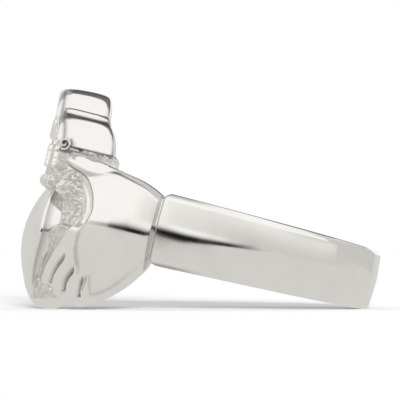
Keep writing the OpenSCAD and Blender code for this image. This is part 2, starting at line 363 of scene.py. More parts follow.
class Socket:
    """A node's output that can be added and multiplied like a number."""

    def __init__(self, tree: "Shader", socket: bpy.types.NodeSocket) -> None:
        """Wraps a socket.

        Args:
            tree: The shader that the socket is part of.
            socket: The node's output.
        """
        self.tree = tree
        self.socket = socket

    def _math(self, operation: str, first: object, second: object = None) -> "Socket":
        """Adds a Math node for one operation and gives its result."""
        values = {0: first} if second is None else {0: first, 1: second}
        return self.tree.node("ShaderNodeMath", {"operation": operation}, values)

    def __add__(self, other: object) -> "Socket":
        """Adds."""
        return self._math("ADD", self, other)

    __radd__ = __add__

    def __mul__(self, other: object) -> "Socket":
        """Multiplies."""
        return self._math("MULTIPLY", self, other)

    __rmul__ = __mul__

    def ramp(self, low: float, high: float, start: float = 0.0, end: float = 1.0) -> "Socket":
        """Maps low to high onto start to end, with soft ends."""
        return self.tree.node("ShaderNodeMapRange", {"interpolation_type": "SMOOTHSTEP"},
                              {0: self, 1: low, 2: high, 3: start, 4: end})


class Shader:
    """A material's node tree, ended by a metal shader or by another surface."""

    def __init__(self, name: str) -> None:
        """Starts a material.

        Args:
            name: The material's name.
        """
        self.material = bpy.data.materials.new(name)
        self.material.use_nodes = True
        self.nodes = self.material.node_tree.nodes
        self.links = self.material.node_tree.links
        self.metal = self.nodes["Principled BSDF"]

    def node(self, kind: str, settings: dict, inputs: dict, output: object = 0) -> Socket:
        """Adds one node.

        Args:
            kind: The node's type.
            settings: Its settings, by name.
            inputs: Values or sockets for its inputs, by name or number.
            output: The output that is wanted.

        Returns:
            That output.
        """
        made = self.nodes.new(kind)
        for key, value in settings.items():
            setattr(made, key, value)
        for key, value in inputs.items():
            self._set(made.inputs[key], value)
        return Socket(self, made.outputs[output])

    def _set(self, target: bpy.types.NodeSocket, value: object) -> None:
        """Sets an input.

        Args:
            target: The input.
            value: A value, or a socket to link to it.
        """
        if isinstance(value, Socket):
            self.links.new(value.socket, target)
        else:
            target.default_value = value

    def feed(self, name: str, value: object) -> None:
        """Sets one input of the metal shader to a value or a socket."""
        self._set(self.metal.inputs[name], value)

    def surface(self, value: Socket) -> bpy.types.Material:
        """Ends the tree with a surface in the metal shader's place.

        Args:
            value: The surface.

        Returns:
            The material.
        """
        self.links.new(value.socket, self.nodes["Material Output"].inputs["Surface"])
        self.nodes.remove(self.metal)
        return self.material

    def places(self) -> Socket:
        """Gives the place on the object."""
        return self.node("ShaderNodeTexCoord", {}, {}, "Object")

    def grain(self, places: Socket, scale: float, detail: float = 2.0) -> Socket:
        """Gives noise of that many waves to a metre."""
        return self.node("ShaderNodeTexNoise", {"noise_dimensions": "3D"},
                         {"Vector": places, "Scale": scale, "Detail": detail}, "Fac")

    def blend(self, share: Socket, first: tuple | Socket, second: tuple | Socket) -> Socket:
        """Mixes two colours by a share."""
        return self.node("ShaderNodeMix", {"data_type": "RGBA"},
                         {0: share, 6: first, 7: second}, 2)

    def grime(self) -> Socket:
        """Gives how much painted shade the piece has at a place."""
        return self.node("ShaderNodeAttribute", {"attribute_name": "grime"}, {}, "Fac")

    def bump(self, height: Socket, distance: float, strength: float = 1.0) -> Socket:
        """Turns a height into a normal."""
        return self.node("ShaderNodeBump", {},
                         {"Height": height, "Distance": distance, "Strength": strength})


@dataclass(frozen=True)
class PolishedSilver:
    """Silver that was buffed: bright, with faint hairlines and handling marks."""

    name: str = "silver_polished"
    bright: tuple = (0.92, 0.908, 0.885, 1.0)
    worn: tuple = (0.895, 0.88, 0.855, 1.0)
    # Near-black colour of the painted shade and dark reflection lines in creases.
    grime: tuple = (0.07, 0.065, 0.058, 1.0)
    roughness: float = 0.075
    marks: float = 0.04
    hair_depth: float = 0.0000001

    def make(self) -> bpy.types.Material:
        """Builds the material.

        Returns:
            The material.
        """
        s = Shader(self.name)
        at = s.places()
        cloud = s.grain(at, 420, 3)
        drawn = s.node("ShaderNodeMapping", {}, {"Vector": at, "Scale": (1.0, 1.0, 9.0)})
        hair = s.grain(drawn, 2600, 2).ramp(0.42, 0.62)
        s.feed("Metallic", 1.0)
        clean = s.blend(cloud.ramp(0.35, 0.7), self.bright, self.worn)
        # Painted shade: the mesh attribute blends the colour towards near black in creases.
        s.feed("Base Color", s.blend(s.grime(), clean, self.grime))
        marks = self.marks * cloud.ramp(0.4, 0.75) + 0.01 * hair
        s.feed("Roughness", self.roughness + marks + 0.2 * s.grime())
        s.feed("Normal", s.bump(hair * 0.5 + s.grain(at, 900, 2), self.hair_depth))
        return s.material


@dataclass(frozen=True)
class CastSilver:
    """Silver as it left the sand: dull and pebbled, with painted shade in its hollows."""

    name: str = "silver_cast"
    high: tuple = (0.87, 0.855, 0.825, 1.0)
    low: tuple = (0.66, 0.645, 0.615, 1.0)
    # Dark grey colour of the painted shade.
    grime: tuple = (0.2, 0.19, 0.175, 1.0)
    roughness: float = 0.24
    pebble_depth: float = 0.00004

    def make(self) -> bpy.types.Material:
        """Builds the material.

        Returns:
            The material.
        """
        s = Shader(self.name)
        at = s.places()
        pebble = s.grain(at, 3300, 3)
        fine = s.grain(at, 9000, 2)
        s.feed("Metallic", 1.0)
        # Painted shade: the low colour falls where the bump's noise is low, in the pebbles' hollows.
        clean = s.blend((pebble * 0.7 + fine * 0.3).ramp(0.36, 0.6), self.low, self.high)
        # Painted shade from the mesh attribute darkens the colour further.
        s.feed("Base Color", s.blend(s.grime(), clean, self.grime))
        s.feed("Roughness", self.roughness + 0.2 * pebble.ramp(0.65, 0.35))
        s.feed("Normal", s.bump(pebble + fine * 0.4, self.pebble_depth, 0.6))
        return s.material


@dataclass(frozen=True)
class Finishes:
    """The ring's two finishes.

    Args:
        polished: The polished silver.
        cast: The silver that is left as cast.
    """

    polished: bpy.types.Material
    cast: bpy.types.Material


# ---------------------------------------------------------------- the band

@dataclass
class Band:
    """The plain hoop and the necks in the grooves at its ends.

    Args:
        bore: The finger's hole.
        finishes: The ring's finishes.
    """

    bore: Bore
    finishes: Finishes
    start: float = 66.6
    back_t: float = 1.5
    cuff_t: float = 1.75
    back_w: float = 4.2
    cuff_w: float = 5.2
    ridge: float = 0.2
    ridge_round: float = 0.12
    edge_r: float = 0.3
    inner_r: float = 0.18
    end_r: float = 0.14
    corner_r: float = 0.5
    groove: float = 0.42
    steps: int = 230
    neck_at: float = 65.6
    neck_half: float = 4.0

    @property
    def half_turn(self) -> float:
        """The angle from the band's back to a cuff, in radians."""
        return math.pi - math.radians(self.start)

    def _section(self, bm: bmesh.types.BMesh, angle: float, t: float, w: float) -> None:
        """Draws the band's outline at one angle.

        Args:
            bm: The mesh to draw in.
            angle: The angle from the middle of the head, in degrees.
            t: The band's thickness.
            w: The band's width.
        """
        bmesh.ops.create_grid(bm, x_segments=1, y_segments=1, size=0.5)
        bmesh.ops.scale(bm, vec=(t, w, 1), verts=bm.verts[:])
        outer = [v for v in bm.verts if v.co.x > 0]
        bmesh.ops.bevel(bm, geom=outer, offset=self.edge_r, segments=5, profile=0.5,
                        affect="VERTICES", material=-1)
        inner = [v for v in bm.verts if v.co.x < 0.001 - t / 2]
        bmesh.ops.bevel(bm, geom=inner, offset=self.inner_r, segments=4, profile=0.5,
                        affect="VERTICES", material=-1)
        bmesh.ops.delete(bm, geom=bm.faces[:], context="FACES_ONLY")
        for side, cuts in ((1, 23), (-1, 7)):
            flat = [e for e in bm.edges
                    if all(abs(v.co.x - side * t / 2) < 1e-4 for v in e.verts)]
            bmesh.ops.subdivide_edges(bm, edges=flat, cuts=cuts)
        for v in bm.verts:
            if v.co.x > t / 2 - 1e-4:
                s = abs(v.co.y) / (w / 2)
                v.co.x += self.ridge * (1 - math.hypot(s, self.ridge_round) + self.ridge_round)
        bmesh.ops.rotate(bm, verts=bm.verts[:], matrix=Matrix.Rotation(math.pi / 2, 3, "X"))
        bmesh.ops.translate(bm, verts=bm.verts[:], vec=(self.bore.radius + t / 2, 0, 0))
        bmesh.ops.rotate(bm, verts=bm.verts[:],
                         matrix=Matrix.Rotation(math.radians(180 + angle), 3, "Z"))

    def _sweep(self, first: float, last: float, t: float, w: float, steps: int) -> bmesh.types.BMesh:
        """Sweeps the band's outline from one angle to another.

        Args:
            first: The first angle, in degrees.
            last: The last angle, in degrees.
            t: The thickness.
            w: The width.
            steps: How many steps the sweep takes.

        Returns:
            A closed mesh with rounded ends.
        """
        bm = bmesh.new()
        self._section(bm, first, t, w)
        bmesh.ops.spin(bm, geom=bm.verts[:] + bm.edges[:], cent=(0, 0, 0), axis=(0, 0, 1),
                       dvec=(0, 0, 0), angle=math.radians(last - first), steps=steps,
                       use_merge=False, use_duplicate=False)
        close_holes(bm)
        caps = [f for f in bm.faces if len(f.verts) > 8]
        rims = list({e for f in caps for e in f.edges})
        bmesh.ops.bevel(bm, geom=rims, offset=self.end_r, segments=4, profile=0.5,
                        affect="EDGES", material=-1)
        return bm

    def _along(self, places: np.ndarray) -> tuple[np.ndarray, np.ndarray]:
        """Works out where places lie along the band.

        Args:
            places: The places, one in each row.

        Returns:
            Their angles from the head's middle, in radians, and their shares
            of the way from the back to a cuff.
        """
        angle = np.mod(np.arctan2(-places[:, 1], -places[:, 0]), 2 * math.pi)
        return angle, np.abs(angle - math.pi) / self.half_turn

    def _narrowed(self, places: np.ndarray) -> np.ndarray:
        """Narrows the swept band towards its back.

        Args:
            places: The swept points.

        Returns:
            The points of the finished band.
        """
        angle, share = self._along(places)
        t = self.back_t + (self.cuff_t - self.back_t) * share**2
        w = self.back_w + (self.cuff_w - self.back_w) * share
        w = w - 2 * rounded((1 - share) * self.half_turn * self.bore.radius, self.corner_r)
        height = (np.hypot(places[:, 0], places[:, 1]) - self.bore.radius) * t / self.cuff_t
        return self.bore.bend(angle, height, places[:, 2] * w / self.cuff_w)

    def _painted_shade(self, co: np.ndarray) -> np.ndarray:
        """Works out the painted shade at the band's ends and along its edges.

        Args:
            co: The finished band's points.

        Returns:
            How dark each point is, from 0 to 1.
        """
        share = self._along(co)[1]
        reach = np.hypot(co[:, 0], co[:, 1])
        along = (1 - share) * self.half_turn * reach
        edge = (self.back_w + (self.cuff_w - self.back_w) * share) / 2 - np.abs(co[:, 2])
        # Painted shade: dark lines at the ends beside the grooves and along the edges near the cuffs.
        ends = 0.55 * (1 - fade(along, 0.08, 0.22))
        edges = 0.5 * (1 - fade(edge, 0.12, 0.28)) * (1 - fade(along, 1.5, 4.5))
        return np.maximum(ends, edges) * fade(reach, self.bore.radius + 0.5, self.bore.radius + 0.8)

    def build(self) -> None:
        """Builds the hoop and its two necks."""
        bm = self._sweep(self.start, 360 - self.start, self.cuff_t, self.cuff_w, self.steps)
        places = self._narrowed(coordinates(bm))
        move_to(bm, places)
        finish_piece(bm, "ring_band", self.bore, [self.finishes.polished],
                     grime=self._painted_shade(places))
        for name, middle in (("ring_neck_near", self.neck_at), ("ring_neck_far", 360 - self.neck_at)):
            neck = self._sweep(middle - self.neck_half, middle + self.neck_half,
                               self.cuff_t - self.groove, self.cuff_w - 2 * self.groove, 10)
            finish_piece(neck, name, self.bore, [self.finishes.polished])


# --------------------------------------------------------------- the hands

class Side(Enum):
    """The two sides of the ring: towards the camera, and away from it."""

    NEAR = 1
    FAR = -1


@dataclass(frozen=True)
class Groove:
    """A groove between two fingers.

    Args:
        line: Its places in the side view, from the knuckle to the tip.
        depth: Its depth.
        steep: The width of its steep side, towards the head's middle.
        slope: The width of its gentle side.
    """

    line: tuple
    depth: float
    steep: float
    slope: float


@dataclass
class Hand:
    """One hand, as a relief that is wrapped round the finger.

    Every line is given as it shows in the side view, as x and z in the
    ring's millimetres, and is laid on the hand's surface from there.

    Args:
        bore: The finger's hole.
        finishes: The ring's finishes.
        side: Which hand it is.
    """

    bore: Bore
    finishes: Finishes
    side: Side
    columns: int = 200
    rows: int = 190
    first: float = 14.0
    last: float = 64.9
    under: float = 1.15
    ridge_z: float = -0.45
    ridge_round: float = 0.45
    slope_up: float = 0.085
    slope_down: float = 0.13
    finger_lift: float = 0.42
    finger_drop: float = 0.14
    inside_drop: float = 0.28
    inner: float = 0.03
    thumb_drop: float = -0.5
    edge_r: float = 0.14
    least: float = 1.2
    back_of_hand = ((14, 2.8), (30, 2.8), (36, 2.79), (40, 2.76), (43, 2.7), (46, 2.62), (50, 2.51),
                    (53, 2.41), (57, 2.27), (60, 2.13), (63.5, 1.95), (65, 1.82))
    top = ((-12.6, 4.1), (-12, 4.05), (-11, 3.86), (-10, 3.74), (-9.4, 3.62), (-8.7, 3.44),
           (-8.2, 3.36), (-7.5, 3.2), (-6.5, 3.0), (-5.5, 2.65), (-4.9, 2.35), (-4.6, 2.2))
    low = ((-12.8, -5.4), (-12.2, -5.6), (-11.7, -5.8), (-11.2, -6.05), (-10.8, -6.35), (-10.4, -6.5),
           (-9.95, -6.45), (-9.75, -6.66), (-9.5, -6.73), (-9, -6.66), (-8.5, -6.5), (-8, -6.3),
           (-7.5, -6.03), (-7, -5.7), (-6.5, -5.25), (-6, -4.75), (-5.5, -4.12), (-5, -3.42),
           (-4.7, -2.9))
    upper_rim = ((-9.4, 2.85), (-8.5, 3.02), (-8.0, 3.0), (-7, 2.78), (-6, 2.5), (-5.2, 2.1),
                 (-4.8, 1.85))
    lower_rim = ((-8.4, -4.4), (-8.32, -4.9), (-8.2, -5.35), (-8.02, -5.62), (-7.5, -5.36), (-7, -5.0),
                 (-6.5, -4.5), (-6, -3.85), (-5.5, -3.15), (-5, -2.4), (-4.8, -2.1))
    heel = ((-12.3, 3.12), (-11.9, 3.03), (-11.5, 2.87), (-11, 2.66), (-10.4, 2.36), (-10.1, 2.1),
            (-9.8, 1.65), (-9.57, 1.2), (-9.42, 0.6), (-9.37, 0.2), (-9.46, -0.3), (-9.68, -0.9),
            (-9.86, -1.4), (-9.93, -1.9), (-9.9, -2.5), (-9.68, -3.3), (-9.4, -4.0), (-9.25, -4.6))
    inside = ((-12.3, 2.95), (-11.4, 2.62), (-10.9, 2.2), (-10.4, 1.55), (-10.05, 0.95), (-9.9, 0.4),
              (-9.84, 0), (-9.95, -0.6), (-10.2, -1.1), (-10.45, -1.45), (-10.75, -2.0), (-11.0, -2.65),
              (-11.3, -3.3), (-11.55, -3.8), (-11.73, -4.4), (-11.83, -5.0), (-11.78, -5.4),
              (-11.5, -5.75), (-11.1, -5.85), (-10.9, -6.05), (-10.7, -6.4), (-10.3, -6.7))
    thumb = ((-12.25, 3.32), (-11.7, 3.15), (-11, 2.92), (-10.5, 2.81), (-10, 2.83), (-9.5, 2.93),
             (-9, 3.02), (-8.5, 3.06), (-8.0, 3.0), (-7, 2.78), (-6, 2.5), (-5.2, 2.1), (-4.8, 1.85))
    thumb_ridge = ((0, 3.3), (0.08, 3.22), (0.2, 3.0), (0.28, 2.85), (0.36, 2.7), (0.44, 2.56),
                   (0.52, 2.45), (0.6, 2.3), (0.67, 2.05), (0.75, 1.8), (1, 1.2))
    grooves = (
        Groove(((-10.42, -3.1), (-10.7, -3.6), (-11.0, -4.2), (-11.2, -4.9), (-11.3, -5.8)),
               0.48, 0.1, 0.5),
        Groove(((-9.55, -3.9), (-9.9, -4.45), (-10.15, -4.95), (-10.3, -5.5), (-10.3, -6.15)),
               0.48, 0.1, 0.5),
        Groove(((-8.78, -4.4), (-8.95, -5.0), (-9.12, -5.6), (-9.18, -6.2)), 0.36, 0.08, 0.36),
        Groove(((-8.58, -4.3), (-8.68, -4.9), (-8.9, -5.7)), 0.2, 0.08, 0.26),
    )

    def _plain(self, angle: np.ndarray, z: np.ndarray) -> np.ndarray:
        """Works out the plain back of the hand, with its middle ridge.

        Args:
            angle: The places' angles, in radians.
            z: Their heights along the finger.

        Returns:
            The height above the finger at each place.
        """
        table = np.array(self.back_of_hand)
        off = z - self.ridge_z
        slope = np.where(off > 0, self.slope_up, self.slope_down)
        lift = self.finger_lift * fade(-z, 1.5, 4.5) * (1 - fade(np.degrees(angle), 24, 42))
        return (np.interp(np.degrees(angle), table[:, 0], table[:, 1]) + lift
                - slope * (np.sqrt(off**2 + self.ridge_round**2) - self.ridge_round))

    def _laid(self, points: tuple, drop: float = 0.0, steps: int = 8) -> np.ndarray:
        """Lays a line of the side view on the hand.

        Args:
            points: The line's places in the side view.
            drop: How far below the back of the hand it runs.
            steps: How finely it is drawn.

        Returns:
            The line as arc length and z.
        """
        line = smooth_line(list(points), steps)
        angle = np.full(len(line), 0.7)
        for _ in range(12):
            reach = self.bore.radius + self._plain(angle, line[:, 1]) - drop
            angle = np.arccos(np.clip(-line[:, 0] / reach, -1, 1))
        return np.stack([angle * self.arc_r, line[:, 1]], axis=1)

    @property
    def arc_r(self) -> float:
        """The radius at which arc lengths on the hand are measured."""
        return self.bore.radius + 2.6

    def beside(self, angle: np.ndarray, z: np.ndarray) -> np.ndarray:
        """Gives how far places lie from the hand, towards the heart."""
        at = np.stack([angle * self.arc_r, z], axis=1)
        return -off_line(at, self._laid(self.inside, self.inside_drop))[0]

    def _back(self, at: np.ndarray, angle: np.ndarray) -> np.ndarray:
        """Works out the back of the hand, with its rims and its ridge.

        Args:
            at: The places, as arc length and z.
            angle: Their angles, in radians.

        Returns:
            The height at each place.
        """
        height = self._plain(angle, at[:, 1])
        past, _ = off_line(at, self._laid(self.upper_rim))
        here = fade(at[:, 0], 9.2, 10.0)
        height = height - here * (1.1 * np.clip(past, 0, 0.6) + 0.07 * bell(past, 0, 0.06))
        past, along = off_line(at, self._laid(self.lower_rim))
        here = fade(along, 0.03, 0.2)
        height = height - 0.07 * here * bell(past, 0, 0.16)
        return height - 0.3 * here * np.clip(-past, 0, 1.2)

    def _with_thumb(self, at: np.ndarray, hand: np.ndarray) -> np.ndarray:
        """Lays the thumb along the hand's upper edge.

        Args:
            at: The places, as arc length and z.
            hand: The height of the hand there.

        Returns:
            The height with the thumb.
        """
        off, along = off_line(at, self._laid(self.thumb, self.thumb_drop))
        table = smooth_line(list(self.thumb_ridge))
        ridge = np.interp(along, table[:, 0], table[:, 1])
        up, down = np.clip(off, 0, None), np.clip(-off, 0, None)
        steep = 0.75 - 0.45 * fade(along, 0.27, 0.53)
        thumb = (ridge - 0.2 * (np.sqrt(up**2 + 0.02) - 0.14)
                 - steep * (np.sqrt(down**2 + 0.01) - 0.1))
        width = 0.85 - 0.37 * along
        thumb = thumb - 1.6 * np.clip(up - width, 0, None) - 0.03 * fade(up, width - 0.3, width)
        tip = np.clip(self._laid(self.thumb, self.thumb_drop)[0, 0] + 0.35 - at[:, 0], 0, None)
        return soft_max(hand, thumb - 2.2 * tip**1.5, 0.1)

    def _fingers(self, at: np.ndarray, height: np.ndarray) -> np.ndarray:
        """Cuts the knuckles, the fingers and their ends.

        Args:
            at: The places, as arc length and z.
            height: The height before the cuts.

        Returns:
            The height after them.
        """
        past = -off_line(at, self._laid(self.heel))[0]
        low = -at[:, 1]
        palm = 1 - fade(low, 0.4, 1.7)
        height = height - palm * (0.2 * fade(past, -0.03, 0.09) + 0.22 * np.clip(past, 0, 0.6))
        knuckle = fade(low, 0.8, 2.2) * (1 - fade(low, 4.0, 5.0))
        height = height - 0.07 * knuckle * bell(past, 0, 0.24)
        fingers = fade(low, 1.2, 3.0) * fade(past, -0.1, 0.3)
        slopes = 0.04 * np.clip(past, 0, 2.5) + 0.05 * np.clip(low - 4.5, 0, 3)
        height = height - fingers * slopes
        for groove in self.grooves:
            off, along = off_line(at, self._laid(groove.line, self.finger_drop))
            cut = np.where(off < 0, 1 + off / groove.steep, 1 - off / groove.slope)
            cut = np.clip(cut, 0, 1)
            depth = groove.depth * fade(along, 0.0, 0.25) * (1 - 0.9 * fade(along, 0.78, 0.96))
            height = height - depth * cut * (0.55 + 0.45 * cut)
        return height

    def _painted_shade(self, at: np.ndarray) -> np.ndarray:
        """Works out the painted shade lines in the hand's creases, along its rims and at its end.

        Args:
            at: The places, as arc length and z.

        Returns:
            How dark each place is, from 0 to 1.
        """
        past, along = off_line(at, self._laid(self.heel))
        low = -at[:, 1]
        # Painted shade: dark lines along the heel, the knuckles, the rims, the thumb, the grooves and
        # the inside edge.
        dark = bell(past, 0.04, 0.065) * (1 - fade(low, 0.3, 1.5)) * fade(along, 0.0, 0.12)
        knuckle = fade(low, 0.6, 2.0) * (1 - fade(low, 3.6, 4.8))
        dark = np.maximum(dark, 0.3 * bell(past, 0, 0.2) * knuckle)
        past, along = off_line(at, self._laid(self.upper_rim))
        dark = np.maximum(dark, 0.95 * bell(past, 0.03, 0.055) * fade(along, 0.05, 0.25)
                          * (1 - fade(along, 0.5, 1.0) * 0.6))
        dark = np.maximum(dark, 0.4 * fade(past, 0.03, 0.1) * fade(along, 0.2, 0.3))
        dark = np.maximum(dark, 0.9 * bell(past, 0.1, 0.08) * fade(along, 0.14, 0.24)
                          * (1 - fade(along, 0.3, 0.5)))
        past, along = off_line(at, self._laid(self.lower_rim))
        dark = np.maximum(dark, 0.2 * bell(past, 0, 0.12) * (1 - fade(along, 0.5, 0.95)))
        past, along = off_line(at, self._laid(self.thumb, self.thumb_drop))
        dark = np.maximum(dark, 0.25 * bell(past, -0.22, 0.14) * fade(along, 0.17, 0.27)
                          * (1 - fade(along, 0.37, 0.5)))
        for groove in self.grooves:
            past, along = off_line(at, self._laid(groove.line, self.finger_drop))
            slope = fade(past, -0.05, 0.03) * (1 - fade(past, 0.15, groove.slope))
            line = 0.45 * bell(past, 0, 0.06) + 0.22 * slope
            line = line * fade(along, 0, 0.15) * (1 - fade(along, 0.85, 1))
            dark = np.maximum(dark, line * min(1, groove.depth / 0.35))
        past, _ = off_line(at, self._laid(self.inside, self.inside_drop))
        dark = np.maximum(dark, 0.3 * bell(past, -0.12, 0.1))
        end = math.radians(self.last) * self.arc_r
        return np.maximum(dark, 0.35 * fade(at[:, 0], end - 0.08, end))

    def _relief(self, angle: np.ndarray, z: np.ndarray, above: np.ndarray,
                below: np.ndarray) -> np.ndarray:
        """Works out the hand's height above the finger.

        Args:
            angle: The places' angles, in radians.
            z: Their heights along the finger.
            above: How far each lies above the lower edge.
            below: How far each lies below the upper edge.

        Returns:
            The height at each place.
        """
        at = np.stack([angle * self.arc_r, z], axis=1)
        height = self._fingers(at, self._with_thumb(at, self._back(at, angle)))
        past, _ = off_line(at, self._laid(self.inside, self.inside_drop))
        fall = 2.4 * (np.sqrt(np.clip(0.05 - past, 0, None)**2 + 0.0036) - 0.06)
        height = height - fall
        edges = rounded(above, self.edge_r) + rounded(below, self.edge_r)
        return np.maximum(height - edges, self.least)

    def build(self) -> None:
        """Builds the hand and lays it on its side of the ring."""
        bm = thick_sheet(self.columns, self.rows)

        co = coordinates(bm)
        angle = np.radians(self.first + (co[:, 0] + 0.5) * (self.last - self.first))
        low = self._laid(self.low, 0.1)
        top = self._laid(self.top)
        arc = angle * self.arc_r
        z_low = np.interp(arc, low[:, 0], low[:, 1])
        z_top = np.interp(arc, top[:, 0], top[:, 1])
        share = co[:, 1] + 0.5
        z = z_low + (z_top - z_low) * share
        even = np.linspace(low[:, 0].min(), low[:, 0].max(), 200)
        lean = np.gradient(np.interp(even, low[:, 0], low[:, 1]), even)
        slant = np.cos(np.arctan(np.interp(arc, even, lean)))
        outer = co[:, 2] > 0.5
        height = self._relief(angle, z, (z - z_low) * slant, z_top - z)
        rise = self.under * np.clip(1 - (z - z_low) / 2.4, 0, 1)
        line = smooth_line(list(self.top))
        x = -(self.bore.radius + self.inner) * np.cos(angle)
        seen = np.interp(x, line[:, 0], line[:, 1]) - 0.04
        rise = rise - np.clip(z_top - seen, 0, None) * np.clip(1 - (z_top - z) / 2.0, 0, 1)
        height = np.where(outer, height, self.inner)
        # Painted shade on the outer face only.
        grime = np.where(outer, self._painted_shade(np.stack([arc, z], axis=1)), 0)
        z = np.where(outer, z, z + rise)
        places = self.bore.bend(angle, height, z)
        places[:, 1] *= self.side.value
        move_to(bm, places)
        edge = self._laid(self.thumb, self.thumb_drop)
        for face in bm.faces:
            centre = face.calc_center_median()
            arc = math.atan2(abs(centre.y), -centre.x) * self.arc_r
            over = centre.z - np.interp(arc, edge[:, 0], edge[:, 1])
            outside = math.hypot(centre.x, centre.y) > self.bore.radius + 0.5
            face.material_index = int(outside and over > 0.78 and arc < edge[-1, 0])
        finish_piece(bm, f"ring_hand_{self.side.name.lower()}", self.bore,
                     [self.finishes.polished, self.finishes.cast], grime=grime)


# --------------------------------------------- the metal between the hands

@dataclass
class Hollow:
    """The sunk metal between the hands, with the sand's grain on it.

    A smooth web rises from it to the heart beside the fingers, and a
    rough collar rises from it to the crown.

    Args:
        bore: The finger's hole.
        finishes: The ring's finishes.
        hand: The hand beside it.
    """

    bore: Bore
    finishes: Finishes
    hand: Hand
    half_angle: float = 44.0
    height: float = 1.92
    top: float = 3.3
    columns: int = 340
    rows: int = 170
    grain: float = 0.3
    roughness: float = 0.06
    bottom = ((0, -6.95), (14, -6.9), (20, -6.75), (24, -6.45), (27, -6.05), (32, -5.5), (45, -4.9))

    def _relief(self, degrees: np.ndarray, z: np.ndarray,
                low: np.ndarray) -> tuple[np.ndarray, np.ndarray]:
        """Works out the smooth form and where it is rough.

        Args:
            degrees: The places' angles from the head's middle.
            z: Their heights along the finger.
            low: The lower edge below each.

        Returns:
            The height at each place, and a share that is 1 on cast metal
            and 0 on smooth metal.
        """
        free = self.hand.beside(np.radians(degrees), z)
        upper_edge = -2.05 + 0.95 * np.clip((degrees - 14) / 11, 0, 1)
        web = fade(upper_edge - z, 0, 0.35) * (1 - fade(-z, 5.2, 5.8))
        patch = fade(-z, 5.2, 5.8) * fade(free, 0.0, 0.4)
        collar = fade(z + 0.1 * np.clip(degrees - 20, 0, 8), 0.45, 1.2) * (1 - fade(degrees, 19, 30))
        height = self.height + 0.45 * (1 - fade(degrees, 25, 32)) * (1 - web) * (1 - patch)
        height = height + web * (0.5 + 0.6 * fade(free, 0.1, 1.5)) + 0.5 * patch + 1.1 * collar
        height = height - 0.9 * (1 - fade(free, -0.5, -0.05)) * fade(-z, 2, 4)
        height = height - 0.3 * rounded(z - low, 0.2)
        grains = 0.45 + 0.6 * fade(z, -3.6, -1.6)
        return height, 1 - 0.9 * fade(web, 0.3, 0.7) * fade(free, grains, grains + 0.3)

    def build(self) -> None:
        """Builds the sunk metal and roughens its outer face."""
        bm = thick_sheet(self.columns, self.rows)
        co = coordinates(bm)
        outer = co[:, 2] > 0.5
        angle = np.radians(2 * self.half_angle * co[:, 0])
        degrees = np.abs(np.degrees(angle))
        edge = smooth_line(list(self.bottom))
        low = np.interp(degrees, edge[:, 0], edge[:, 1])
        z = low + (self.top - 0.7 * fade(degrees, 30, 42) - low) * (co[:, 1] + 0.5)
        height, cast = self._relief(degrees, z, low)
        grain = grit(self.bore.bend(angle, height, z), self.grain, 3.7)
        height = np.where(outer, height + self.roughness * grain * cast, 0.0)
        # Painted shade: the cast face is darkened where the grain is low.
        grime = np.where(outer, cast * fade(-grain, 0.1, 0.9) * 0.4, 0)
        z = np.where(outer, z, z + 0.6 * np.clip(1 - (z - low) / 2.0, 0, 1))
        move_to(bm, self.bore.bend(angle, height, z))
        for face in bm.faces:
            share = np.mean([cast[v.index] * outer[v.index] for v in face.verts])
            face.material_index = int(share > 0.4)
        finish_piece(bm, "ring_hollow", self.bore,
                     [self.finishes.polished, self.finishes.cast], 60, grime)


# --------------------------------------------------------------- the heart

